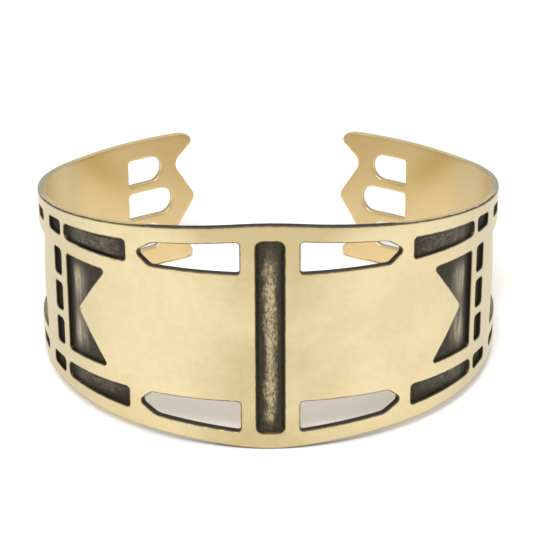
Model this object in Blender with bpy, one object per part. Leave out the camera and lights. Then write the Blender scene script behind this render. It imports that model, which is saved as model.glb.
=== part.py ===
"""Brass cuff bracelet: one pierced and etched strip, bent to an open oval and resting on its lower edge.

The strip is drawn flat, with "along" measured from its middle over the outer face and "up" from its
middle line. It is cut into narrow stations, bent round the plan curve and leaned back until its lower
edge rests on the floor. The outer front is at -Y, the gap between the ends at +Y, and up is +Z.
"""
import math

import bmesh
import bpy
from mathutils import Matrix, Vector

MM = 0.001

# Sheet
THICKNESS = 0.9 * MM
ETCH_DEPTH = 0.35 * MM

# Plan curve of the outer face, from the middle of the front to each end
FRONT_RADIUS = 36.3 * MM
FRONT_ANGLE = math.radians(26.3)
FLANK_RADIUS = 25.3 * MM
FLANK_ANGLE = math.radians(65.3)
TURN_RADIUS = 16.8 * MM
TURN_ANGLE = math.radians(33.6)
END_RADIUS = 34.8 * MM

# Long edges of the strip: heights over the middle, the shoulder and the ends, before rounding
CENTRE_HEIGHT = 30.4 * MM
CENTRE_ROUND = 40.0 * MM
SHOULDER_HEIGHT = 25.8 * MM
SHOULDER_PLACE = 24.0 * MM
SHOULDER_ROUND = 400.0 * MM
END_HEIGHT = 19.0 * MM
END_PLACE = 52.5 * MM
END_ROUND = 150.0 * MM

# Waved ends: a blunt middle point between two horns, as corners before rounding
REACH = 76.5 * MM
POINT_ROUND = 1.2 * MM
NOTCH_DEPTH = 3.4 * MM
NOTCH_DROP = 4.2 * MM
NOTCH_ROUND = 1.6 * MM
HORN_LEAD = 0.1 * MM
HORN_DROP = 0.8 * MM
HORN_ROUND = 0.8 * MM
BROW_LENGTH = 2.0 * MM
BROW_ROUND = 3.0 * MM

# Lines that the pattern keeps to, as heights above the middle and widths of metal left along the edges
SLOT_RIM = 2.1 * MM
BAR_RIM = 2.3 * MM
STROKE_RIM = 2.0 * MM
STROKE_END_RIM = 1.7 * MM
DASH_RIM = 1.55 * MM
WINDOW_RIM = 3.413 * MM
INNER_LINE = 8.6 * MM
LINE_GAP = 2.0 * MM
DASH_GAP = 1.2 * MM
CORNER_ROUND = 0.45 * MM

# Etched bar in the middle of the front
BAR_WIDTH = 3.5 * MM
BAR_ROUND = 0.85 * MM

# Four pierced slots round the middle, each with a pointed outer end
SLOT_GAP = 1.95 * MM
SLOT_LENGTH = 13.45 * MM
SLOT_POINT_LENGTH = 1.95 * MM
SLOT_BROW_LENGTH = 2.4 * MM
SLOT_POINT_ROUND = 0.6 * MM
SLOT_BROW_ROUND = 2.0 * MM

# Four etched strokes outside the slots
STROKE_GAP = 1.35 * MM
STROKE_LENGTH = 11.1 * MM
STROKE_END_ROUND = 0.75 * MM

# Etched fishtail on each side, its V towards the middle
FISHTAIL_SETBACK = 0.4 * MM
FISHTAIL_LENGTH = 7.5 * MM
FISHTAIL_WAIST = 2.25 * MM
FISHTAIL_TIP_ROUND = 0.35 * MM
FISHTAIL_NOTCH_ROUND = 0.8 * MM

# Column of etched dashes beyond the fishtail
COLUMN_GAP = 1.4 * MM
DASH_WIDTH = 1.9 * MM
MIDDLE_DASH_HEIGHT = 3.75 * MM
LONG_DASH_WIDTH = 3.3 * MM

# Waisted window pierced in each flank, with a short etched dash over and under each of its corners
WINDOW_GAP = 2.6 * MM
WINDOW_WIDTH = 11.7 * MM
WINDOW_WAIST = 0.9 * MM
WINDOW_WAIST_ROUND = 8.0 * MM
FLANK_DASH_WIDTH = 3.5 * MM
FLANK_DASH_HEIGHT = 1.35 * MM

# Three pierced D shapes in each end, set back from it
MIDDLE_D_MARGIN = 3.6 * MM
OUTER_D_MARGIN = 5.2 * MM
MIDDLE_D_LENGTH = 7.1 * MM
MIDDLE_D_HEIGHT = 3.9 * MM
OUTER_D_HEIGHT = 3.75 * MM
D_BLUNTNESS = 0.98

# Places along the strip that follow from the widths and gaps, working outwards from the middle
SLOT_START = BAR_WIDTH / 2 + SLOT_GAP
SLOT_REACH = SLOT_START + SLOT_LENGTH
STROKE_START = SLOT_REACH + STROKE_GAP
STROKE_REACH = STROKE_START + STROKE_LENGTH
FISHTAIL_REACH = STROKE_REACH - FISHTAIL_SETBACK
DASH_START = FISHTAIL_REACH + COLUMN_GAP
WINDOW_START = DASH_START + LONG_DASH_WIDTH + WINDOW_GAP
WINDOW_REACH = WINDOW_START + WINDOW_WIDTH
D_START = REACH - MIDDLE_D_MARGIN - MIDDLE_D_LENGTH
HORN_REACH = REACH + HORN_LEAD
FIELD_LINE = INNER_LINE - LINE_GAP

# Fineness of the facets
STATION = 1.25 * MM
ARC_SAG = 0.012 * MM
ARC_SHARE = 0.98
SNAP = 0.01 * MM
TOUCH = 0.001 * MM
FLAT_ANGLE = math.radians(0.05)
SHARP_ANGLE = math.radians(25)

# Finish
BRASS_COLOUR = (0.78, 0.60, 0.33, 1.0)
BRASS_ROUGHNESS = 0.36


def edge(along):
    """Half the strip's height at a place along it, before its corners are rounded."""
    stations = ((0.0, CENTRE_HEIGHT), (SHOULDER_PLACE, SHOULDER_HEIGHT), (END_PLACE, END_HEIGHT))
    for (start, start_height), (stop, stop_height) in zip(stations, stations[1:]):
        if along <= stop:
            share = (along - start) / (stop - start)
            return (start_height + (stop_height - start_height) * share) / 2
    return END_HEIGHT / 2


def rounded(corners):
    """Points of a closed outline through (along, up, radius) corners, each rounded by an arc.

    Where the arcs at both ends of a side would meet, they are made smaller.
    """
    count = len(corners)
    places = [Vector(corner[:2]) for corner in corners]
    sides = [places[(index + 1) % count] - place for index, place in enumerate(places)]
    turns = [sides[index - 1].angle(side) for index, side in enumerate(sides)]
    runs = [corner[2] * math.tan(turn / 2) for corner, turn in zip(corners, turns)]
    room = [ARC_SHARE * side.length / max(runs[index] + runs[(index + 1) % count], TOUCH)
            for index, side in enumerate(sides)]
    points = []
    for index, here in enumerate(places):
        radius = corners[index][2] * min(1.0, room[index - 1], room[index])
        turn, back, ahead = turns[index], -sides[index - 1].normalized(), sides[index].normalized()
        side = 1.0 if back.cross(ahead) < 0 else -1.0
        centre = here + (back + ahead).normalized() * (radius / math.cos(turn / 2))
        spoke = here + back * (radius * math.tan(turn / 2)) - centre
        steps = max(1, math.ceil(turn / (2 * math.acos(1 - ARC_SAG / radius))))
        for step in range(steps + 1):
            points.append(centre + Matrix.Rotation(side * turn * step / steps, 2) @ spoke)
    return points


def flipped(points, along_sign, up_sign):
    """The same outline mirrored, still running anticlockwise."""
    mirrored = [Vector((p.x * along_sign, p.y * up_sign)) for p in points]
    return mirrored if along_sign * up_sign > 0 else mirrored[::-1]


def left_and_right(corners):
    points = rounded(corners)
    return [flipped(points, side, 1) for side in (-1, 1)]


def four_ways(corners):
    points = rounded(corners)
    return [flipped(points, side, way) for side in (-1, 1) for way in (-1, 1)]


def box(start, reach, low, high, near_round=CORNER_ROUND, far_round=CORNER_ROUND):
    """Corners of a four-sided shape; high is a pair where its two ends differ."""
    near_high, far_high = high if isinstance(high, tuple) else (high, high)
    return [(start, low, near_round), (reach, low, far_round),
            (reach, far_high, far_round), (start, near_high, near_round)]


def strip_outline():
    """The whole outline: each quarter runs from the middle of a long edge to the point of an end."""
    quarter = [
        (SHOULDER_PLACE, SHOULDER_HEIGHT / 2, SHOULDER_ROUND),
        (END_PLACE, END_HEIGHT / 2, END_ROUND),
        (HORN_REACH - BROW_LENGTH, END_HEIGHT / 2, BROW_ROUND),
        (HORN_REACH, END_HEIGHT / 2 - HORN_DROP, HORN_ROUND),
        (REACH - NOTCH_DEPTH, END_HEIGHT / 2 - NOTCH_DROP, NOTCH_ROUND),
    ]
    top = (0.0, CENTRE_HEIGHT / 2, CENTRE_ROUND)
    point = (REACH, 0.0, POINT_ROUND)

    def turned(corners, along_sign, up_sign):
        return [(s * along_sign, z * up_sign, r) for s, z, r in corners]

    return rounded(
        turned([point], 1, 1) + turned(quarter[::-1], 1, 1)
        + turned([top], 1, 1) + turned(quarter, -1, 1)
        + turned([point], -1, 1) + turned(quarter[::-1], -1, -1)
        + turned([top], 1, -1) + turned(quarter, 1, -1))


def slots():
    brow = SLOT_REACH - SLOT_BROW_LENGTH
    high = edge(brow) - SLOT_RIM
    return four_ways([
        (SLOT_START, INNER_LINE, CORNER_ROUND),
        (SLOT_REACH - SLOT_POINT_LENGTH, INNER_LINE, SLOT_POINT_ROUND),
        (SLOT_REACH, (INNER_LINE + high) / 2, SLOT_POINT_ROUND),
        (brow, high, SLOT_BROW_ROUND),
        (SLOT_START, edge(SLOT_START) - SLOT_RIM, CORNER_ROUND),
    ])


def flank_windows():
    waist_start = WINDOW_START + WINDOW_WAIST
    waist_reach = WINDOW_REACH - WINDOW_WAIST
    half_height = edge(WINDOW_REACH) - WINDOW_RIM
    return left_and_right([
        (WINDOW_START, -half_height, CORNER_ROUND), (WINDOW_REACH, -half_height, CORNER_ROUND),
        (waist_reach, 0.0, WINDOW_WAIST_ROUND),
        (WINDOW_REACH, half_height, CORNER_ROUND), (WINDOW_START, half_height, CORNER_ROUND),
        (waist_start, 0.0, WINDOW_WAIST_ROUND),
    ])


def end_windows():
    half = MIDDLE_D_HEIGHT / 2
    low = half + DASH_GAP
    middle = box(D_START, REACH - MIDDLE_D_MARGIN, -half, half, far_round=D_BLUNTNESS * half)
    outer = box(D_START, REACH - OUTER_D_MARGIN, low, low + OUTER_D_HEIGHT,
                far_round=D_BLUNTNESS * OUTER_D_HEIGHT / 2)
    return left_and_right(middle) + four_ways(outer)


def centre_bar():
    half_width = BAR_WIDTH / 2
    half_height = CENTRE_HEIGHT / 2 - BAR_RIM
    return [rounded(box(-half_width, half_width, -half_height, half_height, BAR_ROUND, BAR_ROUND))]


def strokes():
    high = (edge(STROKE_START) - STROKE_RIM, edge(STROKE_REACH) - STROKE_END_RIM)
    return four_ways(box(STROKE_START, STROKE_REACH, INNER_LINE, high, far_round=STROKE_END_ROUND))


def fishtails():
    tip = FISHTAIL_REACH - FISHTAIL_LENGTH
    return left_and_right([
        (FISHTAIL_REACH, -FIELD_LINE, CORNER_ROUND), (FISHTAIL_REACH, FIELD_LINE, CORNER_ROUND),
        (tip, FIELD_LINE, FISHTAIL_TIP_ROUND),
        (FISHTAIL_REACH - FISHTAIL_WAIST, 0.0, FISHTAIL_NOTCH_ROUND),
        (tip, -FIELD_LINE, FISHTAIL_TIP_ROUND),
    ])


def dashes():
    half = MIDDLE_DASH_HEIGHT / 2
    reach = DASH_START + DASH_WIDTH
    long_reach = DASH_START + LONG_DASH_WIDTH
    high = (edge(DASH_START) - DASH_RIM, edge(long_reach) - DASH_RIM)
    return (left_and_right(box(DASH_START, reach, -half, half))
            + four_ways(box(DASH_START, reach, half + DASH_GAP, FIELD_LINE))
            + four_ways(box(DASH_START, long_reach, INNER_LINE, high)))


def flank_dashes():
    outlines = []
    for start in (WINDOW_START, WINDOW_REACH - FLANK_DASH_WIDTH):
        reach = start + FLANK_DASH_WIDTH
        near_high, far_high = edge(start) - DASH_RIM, edge(reach) - DASH_RIM
        outlines += four_ways([
            (start, near_high - FLANK_DASH_HEIGHT, CORNER_ROUND),
            (reach, far_high - FLANK_DASH_HEIGHT, CORNER_ROUND),
            (reach, far_high, CORNER_ROUND), (start, near_high, CORNER_ROUND)])
    return outlines


def add_ring(bm, points, depth):
    """The outline as a ring of vertices and edges at one depth under the outer face."""
    verts = [bm.verts.new((p.x, depth, p.y)) for p in points]
    for index, vert in enumerate(verts):
        bm.edges.new((verts[index - 1], vert))
    return verts


def add_wall(bm, outer, inner):
    for index in range(len(outer)):
        bm.faces.new((outer[index - 1], outer[index], inner[index], inner[index - 1]))


def fill(bm, rings):
    """Fills between an outer ring and the rings inside it."""
    edges = [bm.edges.get((ring[i - 1], ring[i])) for ring in rings for i in range(len(ring))]
    bmesh.ops.triangle_fill(bm, use_beauty=True, use_dissolve=False, edges=edges)


def flat_strip(bm):
    """The flat sheet: outer face at depth 0, etched floors below it, inner face at the thickness."""
    pierced = slots() + flank_windows() + end_windows()
    etched = centre_bar() + strokes() + fishtails() + dashes() + flank_dashes()
    through = [strip_outline()] + pierced
    outer_rings = [add_ring(bm, points, 0.0) for points in through]
    inner_rings = [add_ring(bm, points, THICKNESS) for points in through]
    lips = [add_ring(bm, points, 0.0) for points in etched]
    floors = [add_ring(bm, points, ETCH_DEPTH) for points in etched]
    fill(bm, outer_rings + lips)
    fill(bm, inner_rings)
    for floor in floors:
        fill(bm, [floor])
    for outer, inner in zip(outer_rings + lips, inner_rings + floors):
        add_wall(bm, outer, inner)


def cut_stations(bm):
    """Cuts the flat sheet across at even stations and joins the pieces between two stations."""
    count = int(HORN_REACH / STATION)
    for number in range(-count, count + 1):
        geometry = bm.verts[:] + bm.edges[:] + bm.faces[:]
        bmesh.ops.bisect_plane(bm, geom=geometry, dist=SNAP,
                               plane_co=(number * STATION, 0, 0), plane_no=(1, 0, 0))

    def station(vert):
        return abs(vert.co.x / STATION - round(vert.co.x / STATION)) * STATION < SNAP

    def crosses(line):
        first, second = line.verts
        return not (station(first) and station(second) and abs(first.co.x - second.co.x) < 2 * SNAP)

    seams = [line for line in bm.edges if len(line.link_faces) == 2 and crosses(line)
             and line.calc_face_angle() < FLAT_ANGLE]
    bmesh.ops.dissolve_edges(bm, edges=seams, use_verts=True, use_face_split=False)
    bmesh.ops.triangulate(bm, faces=bm.faces[:], quad_method="BEAUTY", ngon_method="BEAUTY")


def plan(along):
    """Place and heading on the right half of the outer face; along is never negative here."""
    place, heading, left = Vector((0.0, 0.0)), 0.0, along
    arcs = ((FRONT_RADIUS, FRONT_ANGLE), (FLANK_RADIUS, FLANK_ANGLE), (TURN_RADIUS, TURN_ANGLE),
            (END_RADIUS, math.pi))
    for radius, angle in arcs:
        swept = min(angle, left / radius)
        place += radius * Vector((math.sin(heading + swept) - math.sin(heading),
                                  math.cos(heading) - math.cos(heading + swept)))
        heading += swept
        left -= swept * radius
    return place, heading


def bend(bm):
    for vert in bm.verts:
        along, depth, up = vert.co
        place, heading = plan(abs(along))
        place += depth * Vector((-math.sin(heading), math.cos(heading)))
        vert.co = (math.copysign(place.x, along), place.y, up)


def rest_on_floor(bm):
    """Leans the cuff back until the inner edge of the front and both ends touch the floor."""
    low = min(vert.co.z for vert in bm.verts)
    heel = max((vert.co for vert in bm.verts if vert.co.z < low + TOUCH), key=lambda co: co.y).copy()
    lean = min(math.atan2(vert.co.z - heel.z, vert.co.y - heel.y)
               for vert in bm.verts if vert.co.y > heel.y)
    bmesh.ops.rotate(bm, cent=heel, matrix=Matrix.Rotation(-lean, 3, "X"), verts=bm.verts[:])
    lows, highs = ([limit(vert.co[axis] for vert in bm.verts) for axis in range(3)]
                   for limit in (min, max))
    shift = Vector((0.0, -(lows[1] + highs[1]) / 2, -lows[2]))
    bmesh.ops.translate(bm, vec=shift, verts=bm.verts[:])


def brass():
    material = bpy.data.materials.new("brass")
    material.use_nodes = True
    shader = material.node_tree.nodes["Principled BSDF"]
    shader.inputs["Base Color"].default_value = BRASS_COLOUR
    shader.inputs["Metallic"].default_value = 1.0
    shader.inputs["Roughness"].default_value = BRASS_ROUGHNESS
    return material


def cuff():
    """Makes the one solid of the bracelet."""
    bm = bmesh.new()
    flat_strip(bm)
    cut_stations(bm)
    bend(bm)
    bmesh.ops.recalc_face_normals(bm, faces=bm.faces[:])
    if bm.calc_volume(signed=True) < 0:
        bmesh.ops.reverse_faces(bm, faces=bm.faces[:])
    rest_on_floor(bm)
    mesh = bpy.data.meshes.new("cuff")
    bm.to_mesh(mesh)
    bm.free()
    mesh.shade_smooth()
    mesh.set_sharp_from_angle(angle=SHARP_ANGLE)
    mesh.materials.append(brass())
    bpy.context.collection.objects.link(bpy.data.objects.new("cuff", mesh))


def main():
    for leftover in list(bpy.data.objects):
        bpy.data.objects.remove(leftover, do_unlink=True)
    cuff()


main()
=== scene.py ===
"""Looks of the brass cuff bracelet: a softened satin band with blackened etching and cut edges."""
import math
from collections import Counter

import bmesh
import bpy
import numpy as np
from bpy.props import FloatProperty, FloatVectorProperty, PointerProperty
from bpy.types import Operator, Panel, PropertyGroup
from mathutils import Euler, Matrix, Vector


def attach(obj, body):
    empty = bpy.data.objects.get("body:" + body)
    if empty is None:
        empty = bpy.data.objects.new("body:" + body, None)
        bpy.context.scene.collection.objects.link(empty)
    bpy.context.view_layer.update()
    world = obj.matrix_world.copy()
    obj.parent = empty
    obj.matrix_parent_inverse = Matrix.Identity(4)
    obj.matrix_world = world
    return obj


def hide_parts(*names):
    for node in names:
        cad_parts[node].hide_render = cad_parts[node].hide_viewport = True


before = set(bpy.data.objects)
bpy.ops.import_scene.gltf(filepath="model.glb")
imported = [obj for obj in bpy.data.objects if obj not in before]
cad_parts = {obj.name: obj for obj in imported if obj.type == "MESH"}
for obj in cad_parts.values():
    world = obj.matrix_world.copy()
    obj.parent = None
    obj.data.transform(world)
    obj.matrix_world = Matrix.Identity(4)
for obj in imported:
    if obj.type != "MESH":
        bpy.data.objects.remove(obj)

bl_info = {
    "name": "Cuff bracelet looks",
    "version": (1, 0, 0),
    "blender": (4, 5, 0),
    "location": "3D View > Sidebar > Cuff",
    "description": "Finishes the packed cuff bracelet and lights it for its picture",
    "category": "Object",
}

MM = 0.001

# Material slots of the band.
BRASS, ETCHING, CUT_EDGE = 0, 1, 2

# The flat strip lies along X, with its depth along Y and its height along Z.
ALONG, UP = Vector((1, 0, 0)), Vector((0, 0, 1))

# Points nearer than SNAP are one point, a line's squared length counts as NO_LENGTH at least,
# and a point may pass the end of its arc by ARC_SLACK in radians.
SNAP = 1e-7
NO_LENGTH = 1e-16
ARC_SLACK = 1e-4

# Facets within FLAT_ANGLE are one face, a rounded edge has two facets that meet at ROUND_ANGLE
# of its turn, and edges sharper than SHARP_ANGLE stay sharp.
FLAT_ANGLE = math.radians(0.05)
ROUND_ANGLE = math.radians(45)
SHARP_ANGLE = math.radians(50)

# Distance in millimetres that stands for far from any edge.
UNSTAINED = 5.0

# Values that a noise texture mostly takes.
NOISE_SPAN = (0.3, 0.7)

# Height in millimetres close below the front's upper edge, how far the rims draw in for each
# millimetre along the strip, and how far the handled part of the front does.
TOP_HEIGHT = 14.5
RIM_SLOPE = 0.1
HANDLED_SLOPE = 0.5

# Sizes in metres of the stage, places and aims of its lights, and the camera's frame in mm.
FLOOR_SIZE = 6.0
OVERHEAD_SIZE, OVERHEAD_PLACE, OVERHEAD_AIM = 0.9, (0.1, 0.15, 0.9), (0.0, 0.0, 0.0)
FRONT_SIZE, FRONT_PLACE, FRONT_AIM = 0.5, (-0.09, -0.5, 0.85), (0.0, 0.0, 0.01)
SENSOR_WIDTH = 36.0
WHITE = (1.0, 1.0, 1.0)


class CuffShape(PropertyGroup):
    """Sizes of the bent strip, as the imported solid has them, and of the finer work on it"""
    thickness: FloatProperty(
        name="Sheet", description="Thickness of the brass sheet",
        default=0.9 * MM, unit="LENGTH")
    etch_depth: FloatProperty(
        name="Etching", description="Depth of the etched floors",
        default=0.35 * MM, unit="LENGTH")
    front_radius: FloatProperty(
        name="Front radius", description="Plan radius of the front",
        default=36.3 * MM, unit="LENGTH")
    front_angle: FloatProperty(
        name="Front angle", description="Turn of the front arc on each side",
        default=math.radians(26.3), subtype="ANGLE")
    flank_radius: FloatProperty(
        name="Flank radius", description="Plan radius of the flanks",
        default=25.3 * MM, unit="LENGTH")
    flank_angle: FloatProperty(
        name="Flank angle", description="Turn of each flank",
        default=math.radians(65.3), subtype="ANGLE")
    turn_radius: FloatProperty(
        name="Turn radius", description="Plan radius of the tight turns",
        default=16.8 * MM, unit="LENGTH")
    turn_angle: FloatProperty(
        name="Turn angle", description="Turn of each tight arc",
        default=math.radians(33.6), subtype="ANGLE")
    end_radius: FloatProperty(
        name="End radius", description="Plan radius of the ends",
        default=34.8 * MM, unit="LENGTH")
    lean: FloatProperty(
        name="Lean", description="How far the cuff leans back where it rests",
        default=math.radians(6.6696), subtype="ANGLE")
    front_middle: FloatVectorProperty(
        name="Front middle", description="Middle of the outer face at the front",
        default=(0.0, -23.8665 * MM, 15.0196 * MM), subtype="XYZ", unit="LENGTH")
    softness: FloatProperty(
        name="Softness", description="Width of the rubbed round on each edge",
        default=0.07 * MM, unit="LENGTH")
    halo: FloatProperty(
        name="Halo", description="Width of the stained rim round each opening",
        default=0.3 * MM, unit="LENGTH")
    station: FloatProperty(
        name="Station", description="Length of a facet along the strip",
        default=1.0 * MM, unit="LENGTH")
    floor_step: FloatProperty(
        name="Floor step", description="Fineness of the etched floors",
        default=0.45 * MM, unit="LENGTH")


class CuffFinish(PropertyGroup):
    """Colours and grain of the metal"""
    brass_light: FloatVectorProperty(
        name="Light brass", description="Clean satin brass",
        default=(0.78, 0.665, 0.41), subtype="COLOR")
    brass_deep: FloatVectorProperty(
        name="Deep brass", description="Slightly tarnished brass",
        default=(0.56, 0.455, 0.25), subtype="COLOR")
    # Painted reflection: the flanks' paler tone stands for white surroundings reflected at a
    # grazing angle; the cut edges behind also use it as paler brass.
    pale_brass_and_reflection: FloatVectorProperty(
        name="Pale brass", description="Duller brass of the flanks",
        default=(0.46, 0.43, 0.31), subtype="COLOR")
    brass_inside: FloatVectorProperty(
        name="Inner brass", description="Brass of the inner face",
        default=(0.78, 0.615, 0.335), subtype="COLOR")
    # Painted shade of the inner face round the turns.
    inner_turn_shade: FloatVectorProperty(
        name="Dull inner brass", description="Greyer brass of the inner face at the turns",
        default=(0.655, 0.55, 0.32), subtype="COLOR")
    # Painted shade: golden colour of the shade that slants across the inner face near each end.
    inner_gold_shade: FloatVectorProperty(
        name="Inner tarnish", description="Golden tarnish of the inner face near the ends",
        default=(0.60, 0.45, 0.18), subtype="COLOR")
    soot: FloatVectorProperty(
        name="Blackening", description="Oxidised floors of the etching",
        default=(0.030, 0.026, 0.018), subtype="COLOR")
    corner: FloatVectorProperty(
        name="Along the walls", description="Etching along its walls",
        default=(0.034, 0.028, 0.016), subtype="COLOR")
    pitch: FloatVectorProperty(
        name="Dashes", description="Brown-black floors of the dashes",
        default=(0.018, 0.014, 0.007), subtype="COLOR")
    cut: FloatVectorProperty(
        name="Cut edges", description="Oxidised cut edges",
        default=(0.045, 0.034, 0.024), subtype="COLOR")
    rubbed: FloatVectorProperty(
        name="Rubbed", description="Brass that shows where blackening is worn away",
        default=(0.47, 0.385, 0.23), subtype="COLOR")
    # Painted highlight: colour of the lighter stripe on each fishtail.
    fishtail_highlight: FloatVectorProperty(
        name="Greyed", description="Duller worn metal of the fishtails",
        default=(0.44, 0.39, 0.28), subtype="COLOR")
    # Dust and painted sheen: the pale film on the strokes is partly dust and scratches and partly
    # painted sheen of reflected light.
    dust_and_sheen: FloatVectorProperty(
        name="Dust", description="Pale bloom on the floors of the strokes",
        default=(0.42, 0.395, 0.30), subtype="COLOR")
    roughness: FloatProperty(
        name="Roughness", description="Roughness of the satin brass",
        default=0.38, subtype="FACTOR")
    # Place of the painted highlight stripe on each fishtail.
    stripe_place: FloatProperty(
        name="Stripe", description="Place along the strip of the rubbed stripe on each fishtail",
        default=27.3 * MM, unit="LENGTH")


class CuffStage(PropertyGroup):
    """Camera, floor and lights"""
    camera_place: FloatVectorProperty(
        name="Camera", description="Place of the camera",
        default=(-1.740 * MM, -240.481 * MM, 151.389 * MM), subtype="XYZ", unit="LENGTH")
    camera_turn: FloatVectorProperty(
        name="Camera turn", description="Turn of the camera",
        default=(math.radians(59.712), math.radians(0.146), math.radians(-0.542)),
        subtype="EULER")
    lens: FloatProperty(
        name="Lens", description="Focal length on a 36 mm frame",
        default=140.0, unit="CAMERA")
    floor_colour: FloatVectorProperty(
        name="Floor", description="Colour of the floor",
        default=(0.905, 0.89, 0.875), subtype="COLOR")
    sky: FloatProperty(
        name="Sky", description="Strength of the light from all round",
        default=0.60)
    overhead: FloatProperty(
        name="Overhead", description="Power of the overhead soft light",
        default=2.2, unit="POWER")
    front_light: FloatProperty(
        name="Front light", description="Power of the soft light above the front",
        default=7.2, unit="POWER")


def plan_arcs(shape):
    """Radius, turn, start, start heading and centre of each arc of the outer face's right half."""
    arcs, start, heading, place = [], 0.0, 0.0, Vector((0.0, 0.0))
    for radius, angle in ((shape.front_radius, shape.front_angle),
                          (shape.flank_radius, shape.flank_angle),
                          (shape.turn_radius, shape.turn_angle),
                          (shape.end_radius, math.pi)):
        centre = place + radius * Vector((-math.sin(heading), math.cos(heading)))
        arcs.append((radius, angle, start, heading, centre))
        start += radius * angle
        heading += angle
        place = centre + radius * Vector((math.sin(heading), -math.cos(heading)))
    return arcs


def upright(shape):
    """Turn between the strip's own upright frame and its lean on the floor."""
    return np.array(Matrix.Rotation(-shape.lean, 3, "X"))


def flattened(points, shape):
    """Along, depth and up on the flat strip for each point of the bent one."""
    own = (points - np.array(shape.front_middle)) @ upright(shape)
    across, back = np.abs(own[:, 0]), own[:, 1]
    along, depth = np.full(len(own), np.nan), np.zeros(len(own))
    for radius, angle, start, heading, centre in plan_arcs(shape):
        swept = np.arctan2(across - centre.x, centre.y - back) - heading
        under = radius - np.hypot(across - centre.x, centre.y - back)
        here = (np.isnan(along) & (swept > -ARC_SLACK) & (swept < angle + ARC_SLACK)
                & (np.abs(under - shape.thickness / 2) < shape.thickness))
        along[here] = start + swept[here] * radius
        depth[here] = under[here]
    if np.isnan(along).any():
        raise RuntimeError("The packed cuff doesn't follow these plan sizes")
    levels = np.array([0.0, shape.etch_depth, shape.thickness])
    depth = levels[np.abs(depth[:, None] - levels).argmin(axis=1)]
    return np.stack([np.copysign(along, own[:, 0]), depth, own[:, 2]], axis=1)


def bent(flat, normals, corners, shape):
    """Points of the bent strip for each flat point, and the corner normals carried round."""
    along, depth = np.abs(flat[:, 0]), flat[:, 1]
    side = np.where(flat[:, 0] < 0, -1.0, 1.0)
    heading, across, back = np.zeros(len(flat)), np.zeros(len(flat)), np.zeros(len(flat))
    for radius, _, start, first_heading, centre in plan_arcs(shape):
        here = along >= start
        heading[here] = first_heading + (along[here] - start) / radius
        across[here] = centre.x + (radius - depth[here]) * np.sin(heading[here])
        back[here] = centre.y - (radius - depth[here]) * np.cos(heading[here])
    own = np.stack([side * across, back, flat[:, 2]], axis=1)
    turn = (side * heading)[corners]
    carried = np.stack([normals[:, 0] * np.cos(turn) - normals[:, 1] * np.sin(turn),
                        normals[:, 0] * np.sin(turn) + normals[:, 1] * np.cos(turn),
                        normals[:, 2]], axis=1)
    lean = upright(shape).T
    return own @ lean + np.array(shape.front_middle), carried @ lean


def read(items, name, width=3):
    """One value of each of a mesh's items, with width numbers each."""
    values = np.zeros(len(items) * width)
    items.foreach_get(name, values)
    return values.reshape(-1, width) if width > 1 else values


def begin(piece):
    """Opens a piece in edit mode, ready to pick its faces."""
    bpy.ops.object.select_all(action="DESELECT")
    bpy.context.view_layer.objects.active = piece
    piece.select_set(True)
    bpy.ops.object.mode_set(mode="EDIT")
    bpy.ops.mesh.select_mode(type="FACE")


def end():
    """Leaves edit mode."""
    bpy.ops.object.mode_set(mode="OBJECT")


def pick(piece, chosen):
    """Selects in edit mode the faces for which chosen is true, and nothing else."""
    bpy.ops.mesh.select_all(action="DESELECT")
    for face in bmesh.from_edit_mesh(piece.data).faces:
        face.select_set(chosen(face))


def lies_at(depth):
    """A test for faces that lie wholly at one depth of the strip."""
    return lambda face: all(abs(vert.co.y - depth) < SNAP for vert in face.verts)


def soften(piece, shape):
    """Clears the flat strip's facets, rounds the edges of both faces and adds a rim beside them."""
    begin(piece)
    bpy.ops.mesh.select_all(action="SELECT")
    bpy.ops.mesh.remove_doubles(threshold=SNAP)
    bpy.ops.mesh.dissolve_limited(angle_limit=FLAT_ANGLE)
    round_share = 1 - math.cos(ROUND_ANGLE)
    steps = (round_share * shape.softness, (1 - round_share) * shape.softness, shape.halo)
    for depth, inwards in ((0.0, 1), (shape.thickness, -1)):
        pick(piece, lies_at(depth))
        for width in steps:
            bpy.ops.mesh.inset(thickness=width, use_even_offset=True)
        for drop in (shape.softness, round_share * shape.softness):
            pick(piece, lies_at(depth))
            bpy.ops.mesh.region_to_loop()
            bpy.ops.transform.translate(value=(0, inwards * drop, 0))
            bpy.ops.mesh.select_mode(type="FACE")
    end()


def cut_lines(piece, places, axis, chosen=None):
    """Bisects the flat strip, or the chosen faces of it, at each place along an axis."""
    begin(piece)
    for place in places:
        if chosen:
            pick(piece, chosen)
        else:
            bpy.ops.mesh.select_all(action="SELECT")
        bpy.ops.mesh.bisect(plane_co=axis * place, plane_no=axis, threshold=SNAP)
    end()


def edge_distance(points, lines):
    """Distance of each flat point from the nearest of the lines, both as along and up."""
    start, reach = lines[:, 0], lines[:, 1] - lines[:, 0]
    length = np.maximum((reach ** 2).sum(axis=1), NO_LENGTH)
    nearest = np.empty(len(points))
    for index, point in enumerate(points):
        share = np.clip(((point - start) * reach).sum(axis=1) / length, 0.0, 1.0)
        gap = point - start - share[:, None] * reach
        nearest[index] = (gap ** 2).sum(axis=1).min()
    return np.sqrt(nearest)


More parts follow.
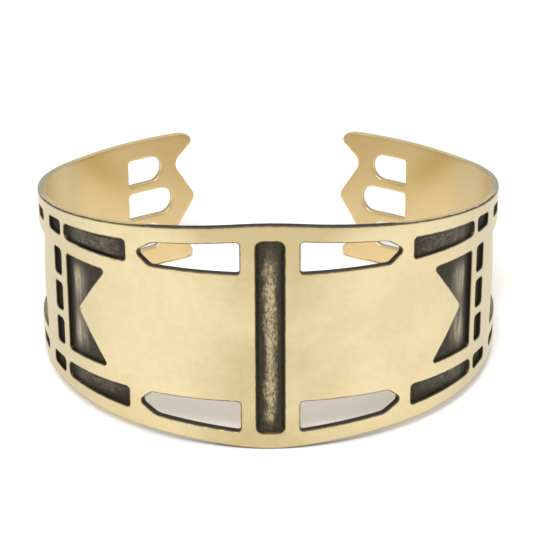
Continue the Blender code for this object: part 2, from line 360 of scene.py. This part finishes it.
def mark(piece, shape):
    """Sorts the faces by finish and stores each point's place and its distance from an edge."""
    mesh = piece.data
    flat = read(mesh.vertices, "co")
    depth = flat[:, 1]
    outside = depth < shape.softness + SNAP
    inside = depth > shape.thickness - shape.softness - SNAP
    etched = depth < shape.etch_depth + SNAP
    clear = np.where(inside, UNSTAINED * MM, 0.0)
    kinds = np.full(len(mesh.polygons), CUT_EDGE)
    members = [np.array(face.vertices[:]) for face in mesh.polygons]
    for index, corners in enumerate(members):
        if outside[corners].all() or inside[corners].all():
            kinds[index] = BRASS
        elif etched[corners].all():
            kinds[index] = ETCHING
    for level in (0.0, shape.etch_depth):
        flush = np.abs(depth - level) < SNAP
        faces = [index for index, corners in enumerate(members) if flush[corners].all()]
        shared = Counter(key for index in faces for key in mesh.polygons[index].edge_keys)
        border = np.array([key for key, count in shared.items() if count == 1])
        points = np.unique(np.concatenate([members[index] for index in faces]))
        clear[points] = edge_distance(flat[points][:, ::2], flat[border][:, :, ::2])
    mesh.polygons.foreach_set("material_index", kinds)
    strip = mesh.attributes.new("strip", "FLOAT_VECTOR", "POINT")
    strip.data.foreach_set("vector", (flat / MM).ravel())
    rim = mesh.attributes.new("clear", "FLOAT", "POINT")
    rim.data.foreach_set("value", clear / MM)


def bend_back(piece, shape):
    """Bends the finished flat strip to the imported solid's form, with its normals."""
    mesh = piece.data
    bpy.ops.object.shade_smooth_by_angle(angle=SHARP_ANGLE)
    weighted = piece.modifiers.new("even", "WEIGHTED_NORMAL")
    weighted.keep_sharp = True
    bpy.ops.object.modifier_apply(modifier=weighted.name)
    flat, normals = read(mesh.vertices, "co"), read(mesh.corner_normals, "vector")
    corners = read(mesh.loops, "vertex_index", 1).astype(int)
    points, carried = bent(flat, normals, corners, shape)
    mesh.vertices.foreach_set("co", points.ravel())
    mesh.update()
    mesh.normals_split_custom_set(carried)


class Nodes:
    """A material's node tree, with short calls for the nodes that the finishes share."""

    def __init__(self, name):
        self.material = bpy.data.materials.new(name)
        self.material.use_nodes = True
        self.tree = self.material.node_tree
        self.shader = self.tree.nodes["Principled BSDF"]

    def add(self, kind, settings=None, **inputs):
        """A new node with its settings and inputs."""
        node = self.tree.nodes.new("ShaderNode" + kind)
        for name, value in (settings or {}).items():
            setattr(node, name, value)
        for name, value in inputs.items():
            self.feed(node, name.replace("_", " "), value)
        return node

    def feed(self, node, name, value):
        """Links or sets one input, called by its name, or as i0, i1 and so on by its number."""
        numbered = name[0] == "i" and name[1:].isdigit()
        socket = node.inputs[int(name[1:]) if numbered else name]
        if isinstance(value, bpy.types.NodeSocket):
            self.tree.links.new(value, socket)
        else:
            socket.default_value = value

    def strip(self, along, up, depth=1.0):
        """Place on the strip in millimetres, each direction scaled."""
        place = self.add("Attribute", {"attribute_name": "strip"})
        return self.add("VectorMath", {"operation": "MULTIPLY"}, i0=place.outputs["Vector"],
                        i1=(along, depth, up)).outputs[0]

    def places(self):
        """Distance from the middle along the strip, depth and height, in millimetres."""
        place = self.add("SeparateXYZ", Vector=self.strip(1.0, 1.0))
        return self.unsigned(place.outputs[0]), place.outputs[1], place.outputs[2]

    def clear(self):
        """Distance from the nearest edge in millimetres."""
        return self.add("Attribute", {"attribute_name": "clear"}).outputs["Fac"]

    def noise(self, vector, detail=3.0, rough=0.5):
        """A noise with about one lump to each unit of the vector."""
        return self.add("TexNoise", Vector=vector, Scale=1.0, Detail=detail,
                        Roughness=rough).outputs["Fac"]

    def ramp(self, value, low, high, to_low=0.0, to_high=1.0):
        """A smooth step from to_low to to_high, as a value goes from low to high.

        Places along the strip, heights, depths and distances from an edge are in millimetres.
        """
        return self.add("MapRange", {"interpolation_type": "SMOOTHSTEP"}, i0=value, i1=low,
                        i2=high, i3=to_low, i4=to_high).outputs[0]

    def varied(self, noise, to_low, to_high):
        """A noise spread from to_low to to_high."""
        return self.ramp(noise, *NOISE_SPAN, to_low, to_high)

    def maths(self, operation, first, second=0.0):
        """The result of one operation on two values, or on the first alone."""
        return self.add("Math", {"operation": operation}, i0=first, i1=second).outputs[0]

    def unsigned(self, value):
        return self.maths("ABSOLUTE", value)

    def difference(self, first, second):
        return self.maths("SUBTRACT", first, second)

    def total(self, first, *others):
        for other in others:
            first = self.maths("ADD", first, other)
        return first

    def product(self, first, *others):
        for other in others:
            first = self.maths("MULTIPLY", first, other)
        return first

    def mix(self, factor, first, second):
        """A mix of two colours, which are sockets 6 and 7 of the node, with its result at 2."""
        return self.add("Mix", {"data_type": "RGBA"}, i0=factor, i6=first, i7=second).outputs[2]

    def bump(self, height, strength, distance):
        return self.add("Bump", Height=height, Strength=strength, Distance=distance).outputs[0]

    def finish(self, **inputs):
        """The material, with its shader's inputs set."""
        for name, value in inputs.items():
            self.feed(self.shader, name.replace("_", " "), value)
        return self.material


def rgba(colour):
    return (*colour, 1.0)


def satin_brass(look):
    """Brass brushed along the strip: mottled, with a painted reflection that makes the flanks
    paler, and stained beside cuts.
    """
    make = Nodes("satin brass")
    along, depth, up = make.places()
    clear = make.clear()
    patches = make.noise(make.strip(0.10, 0.13))
    spots = make.noise(make.strip(0.9, 0.9), detail=4.0)
    brushing = make.noise(make.strip(0.25, 9.0), detail=4.0, rough=0.65)

    # The front is deeper in tone beside the bar, towards its top and along its lower edge.
    beside_bar = make.product(make.ramp(along, 2.0, 13.0, 0.50, 0.0),
                              make.varied(patches, 0.7, 1.3))
    from_top = make.total(make.product(along, HANDLED_SLOPE), make.difference(TOP_HEIGHT, up))
    handled = make.ramp(from_top, -1.0, 11.0, 0.95, 0.0)
    low_edge = make.ramp(up, -15.0, -10.0, 0.18, 0.0)
    tone = make.total(make.ramp(patches, 0.35, 0.70, 0.0, 0.22),
                      make.ramp(spots, 0.40, 0.75, 0.0, 0.14),
                      make.varied(brushing, 0.0, 0.08), low_edge, beside_bar, handled)
    outside = make.mix(tone, rgba(look.brass_light), rgba(look.brass_deep))
    # Painted reflection: the flanks are mixed towards a paler brass that stands for white
    # surroundings reflected at a grazing angle.
    flank = make.product(make.ramp(along, 19.0, 33.0, 0.0, 0.50),
                         make.ramp(along, 44.0, 56.0, 1.0, 0.0))
    outside = make.mix(flank, outside, rgba(look.pale_brass_and_reflection))

    # Painted shade: the inner face is darker and greyer round the turns, and a golden painted shade
    # with some random mottle slants across each end.
    turn = make.product(make.ramp(along, 36.0, 46.0, 0.0, 0.95),
                        make.ramp(along, 54.0, 59.0, 1.0, 0.3))
    slant = make.total(along, up)
    golden = make.product(make.ramp(slant, 63.5, 68.0, 0.0, 0.85),
                          make.ramp(slant, 67.5, 73.5, 1.0, 0.15),
                          make.ramp(up, 1.0, 7.0, 0.3, 1.0))
    mottled_shade = make.total(golden, make.ramp(patches, 0.4, 0.7, 0.0, 0.12))
    inside = make.mix(turn, rgba(look.brass_inside), rgba(look.inner_turn_shade))
    inside = make.mix(mottled_shade, inside, rgba(look.inner_gold_shade))
    metal = make.mix(make.ramp(depth, 0.3, 0.6), outside, inside)

    # A ragged stain runs beside the cuts, fainter behind and along the lower rim.
    ragged = make.total(clear, make.varied(spots, -0.03, 0.03))
    low_rim = make.total(make.product(up, -1.0), make.product(along, RIM_SLOPE))
    stain = make.product(make.ramp(ragged, 0.0, 0.13, 0.80, 0.0),
                         make.ramp(along, 36.0, 42.0, 1.0, 0.25),
                         make.ramp(low_rim, 13.9, 14.3, 1.0, 0.35))

    brushed = make.ramp(brushing, 0.25, 0.75, look.roughness - 0.05, look.roughness + 0.07)
    rounded = make.ramp(clear, 0.0, 0.12, 0.25, 0.0)
    return make.finish(Base_Color=make.mix(stain, metal, rgba(look.cut)), Metallic=1.0,
                       Roughness=make.total(brushed, rounded),
                       Normal=make.bump(brushing, strength=0.10, distance=0.02 * MM))


def blackened_etching(look):
    """Dark floors, rubbed to brass down the middle of the bar, with a painted highlight in a stripe
    on each fishtail.
    """
    make = Nodes("blackened etching")
    along, _, up = make.places()
    tall = make.unsigned(up)
    clear = make.clear()
    speckle = make.noise(make.strip(4.5, 2.2), detail=5.0, rough=0.75)
    cloud = make.noise(make.strip(1.3, 0.5))
    drift = make.noise(make.strip(0.9, 0.45), detail=2.0)
    streaks = make.noise(make.strip(3.0, 0.30), rough=0.6)
    blotches = make.noise(make.strip(0.9, 1.4), rough=0.6)
    scratches = make.noise(make.strip(1.6, 5.0), detail=5.0, rough=0.8)
    grit = make.noise(make.strip(6.0, 6.0), detail=5.0, rough=0.7)

    # The black changes a little away from the walls, and is browner in the dashes.
    dash = make.ramp(along, 29.6, 30.4)
    cast = make.mix(make.ramp(clear, 0.0, 0.5), rgba(look.corner), rgba(look.soot))
    cast = make.mix(dash, cast, rgba(look.pitch))

    # The bar is rubbed along a wandering line near its middle, which fades at both ends.
    wander = make.total(make.varied(drift, -0.22, 0.22), make.ramp(up, -5.0, 4.0, 0.05, 0.0))
    bar = make.product(make.ramp(make.total(along, wander), -0.15, 1.1, 1.20, 0.0),
                       make.ramp(up, 7.0, 12.0, 1.0, 0.05),
                       make.ramp(up, -12.8, -8.5, 0.05, 1.0),
                       make.ramp(speckle, 0.36, 0.66, 0.25, 1.70),
                       make.varied(cloud, 0.60, 1.30))

    # Painted highlight: each fishtail has an upright streaked stripe, standing for light reflected
    # off its curved floor, which fades above and below.
    place = look.stripe_place / MM
    stripe = make.product(make.ramp(along, place - 2.6, place + 0.7),
                          make.ramp(along, place, place + 1.15, 1.0, 0.0),
                          make.ramp(tall, 0.0, 4.0, 0.35, 1.0),
                          make.ramp(tall, 4.0, 6.2, 1.0, 0.1),
                          make.ramp(speckle, 0.34, 0.68, 0.75, 1.25),
                          make.ramp(streaks, 0.35, 0.65, 0.55, 1.30))
    # This adds the bar's real rubbing to the painted highlight of the fishtail stripes.
    worn = make.total(bar, stripe)
    metal = make.mix(make.ramp(along, 3.0, 15.0), rgba(look.rubbed), rgba(look.fishtail_highlight))

    # Dust with painted sheen lies scratched on the strokes, more on the upper ones, with a haze in
    # the bar and a faint even film on the furthest dashes.
    by_height = make.total(make.ramp(up, -11.0, -9.2, 0.05, 0.6),
                           make.ramp(up, 7.0, 9.0, 0.0, 0.15))
    bloom_and_sheen = make.product(make.ramp(along, 17.5, 21.5), make.ramp(along, 25.5, 28.8, 0.21, 0.0),
                         make.ramp(clear, 0.0, 0.5), by_height,
                         make.ramp(tall, 7.2, 8.2, 0.3, 1.0),
                         make.ramp(blotches, 0.35, 0.65, 0.6, 1.3),
                         make.ramp(scratches, 0.35, 0.68, 0.35, 2.0))
    haze = make.product(make.ramp(along, 1.6, 3.0, 0.04, 0.0),
                        make.ramp(scratches, 0.35, 0.68, 0.3, 1.8))
    furthest = make.ramp(along, 35.5, 38.0, 0.0, 0.12)
    floor = make.mix(make.total(bloom_and_sheen, haze, furthest), cast, rgba(look.dust_and_sheen))

    rough = make.total(make.ramp(worn, 0.0, 1.0, 0.44, 0.38), make.product(dash, 0.2))
    return make.finish(Base_Color=make.mix(worn, floor, metal), Metallic=0.9,
                       Roughness=rough, Specular_IOR_Level=0.3,
                       Normal=make.bump(grit, strength=0.30, distance=0.02 * MM))


def oxidised_cut(look):
    """Brown-black cut edges, rubbed to brass on the rim beside the front and duller behind."""
    make = Nodes("oxidised cut edge")
    along, depth, up = make.places()
    grain = make.noise(make.strip(1.3, 1.3, 5.0), detail=4.0, rough=0.6)
    behind = make.ramp(along, 35.5, 41.0)

    # The black is kept from the outer face down to a depth in mm, which rubbing makes less.
    rim_height = make.total(make.unsigned(up), make.product(along, RIM_SLOPE))
    beside_front = make.product(make.ramp(along, 13.0, 19.0, 0.0, 0.72),
                                make.ramp(rim_height, 14.1, 14.3))
    rubbed = make.total(beside_front, make.product(behind, 0.5))
    kept = make.difference(make.varied(grain, 0.85, 1.1), rubbed)
    dark = make.ramp(make.difference(kept, depth), -0.08, 0.12)

    dull = make.mix(make.ramp(along, 48.0, 60.0, 0.0, 0.9),
                    rgba(look.pale_brass_and_reflection), rgba(look.brass_inside))
    worn = make.mix(make.ramp(grain, 0.4, 0.7, 0.0, 0.5),
                    rgba(look.brass_inside), rgba(look.rubbed))
    black = make.mix(make.ramp(grain, 0.55, 0.85, 0.0, 0.2), rgba(look.cut), rgba(look.rubbed))
    worn = make.mix(behind, worn, dull)
    black = make.mix(make.product(behind, 0.6), black, dull)
    return make.finish(Base_Color=make.mix(dark, worn, black), Metallic=0.85,
                       Roughness=0.45, Specular_IOR_Level=0.2,
                       Normal=make.bump(grain, strength=0.3, distance=0.03 * MM))


class CUFF_OT_band(Operator):
    """Make the band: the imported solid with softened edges, finer floors and sorted faces"""
    bl_idname = "cuff.band"
    bl_label = "Metal band"

    def execute(self, context):
        shape, look = context.scene.cuff_shape, context.scene.cuff_finish
        band = bpy.data.objects.new("cuff_band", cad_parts["cuff"].data.copy())
        mesh = band.data
        context.collection.objects.link(band)
        mesh.materials.clear()
        for material in (satin_brass(look), blackened_etching(look), oxidised_cut(look)):
            mesh.materials.append(material)
        mesh.vertices.foreach_set("co", flattened(read(mesh.vertices, "co"), shape).ravel())
        soften(band, shape)
        count = int(max(abs(vert.co.x) for vert in mesh.vertices) / shape.station)
        cut_lines(band, [step * shape.station for step in range(-count, count + 1)], ALONG)
        rows = int(max(vert.co.z for vert in mesh.vertices) / shape.floor_step)
        cut_lines(band, [(row + 0.5) * shape.floor_step for row in range(-rows, rows)], UP,
                  lies_at(shape.etch_depth))
        mark(band, shape)
        bend_back(band, shape)
        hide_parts("cuff")
        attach(band, "root")
        return {"FINISHED"}


def soft_light(name, power, size, place, aim):
    """Adds a round area light at a place, turned towards its aim."""
    bpy.ops.object.light_add(type="AREA", location=place)
    light = bpy.context.object
    light.name = name
    light.rotation_euler = (Vector(aim) - Vector(place)).to_track_quat("-Z", "Y").to_euler()
    light.data.shape = "DISK"
    light.data.size = size
    light.data.energy = power


class CUFF_OT_stage(Operator):
    """Lay the pale floor and set the soft lights and the camera"""
    bl_idname = "cuff.stage"
    bl_label = "Stage"

    def execute(self, context):
        stage, scene = context.scene.cuff_stage, context.scene
        bpy.ops.mesh.primitive_plane_add(size=FLOOR_SIZE)
        floor = context.object
        floor.name = "floor"
        pale = Nodes("pale floor")
        floor.data.materials.append(
            pale.finish(Base_Color=rgba(stage.floor_colour), Roughness=0.6))
        world = bpy.data.worlds.new("soft white")
        world.use_nodes = True
        background = world.node_tree.nodes["Background"]
        background.inputs["Color"].default_value = rgba(WHITE)
        background.inputs["Strength"].default_value = stage.sky
        scene.world = world
        soft_light("overhead light", stage.overhead, OVERHEAD_SIZE, OVERHEAD_PLACE, OVERHEAD_AIM)
        soft_light("front light", stage.front_light, FRONT_SIZE, FRONT_PLACE, FRONT_AIM)
        bpy.ops.object.camera_add(location=stage.camera_place, rotation=Euler(stage.camera_turn))
        camera = context.object
        camera.data.lens = stage.lens
        camera.data.sensor_width = SENSOR_WIDTH
        scene.camera = camera
        scene.view_settings.view_transform = "Standard"
        return {"FINISHED"}


class CUFF_PT_panel(Panel):
    """Steps and settings of the cuff's looks"""
    bl_idname = "CUFF_PT_panel"
    bl_label = "Cuff bracelet"
    bl_space_type = "VIEW_3D"
    bl_region_type = "UI"
    bl_category = "Cuff"

    def draw(self, context):
        for step in STEPS:
            self.layout.operator(step.bl_idname)
        for name, kind in GROUPS.items():
            box = self.layout.box()
            for setting in kind.__annotations__:
                box.prop(getattr(context.scene, name), setting)


GROUPS = {"cuff_shape": CuffShape, "cuff_finish": CuffFinish, "cuff_stage": CuffStage}
STEPS = (CUFF_OT_band, CUFF_OT_stage)
CLASSES = (*GROUPS.values(), *STEPS, CUFF_PT_panel)


def register():
    for kind in CLASSES:
        bpy.utils.register_class(kind)
    for name, kind in GROUPS.items():
        setattr(bpy.types.Scene, name, PointerProperty(type=kind))


def unregister():
    for name in GROUPS:
        delattr(bpy.types.Scene, name)
    for kind in reversed(CLASSES):
        bpy.utils.unregister_class(kind)


def corners(bounds):
    return [list(corner) for corner in bounds]


def main():
    register()
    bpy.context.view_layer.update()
    bpy.ops.cuff.band()
    bpy.ops.cuff.stage()


if __name__ == "__main__":
    main()
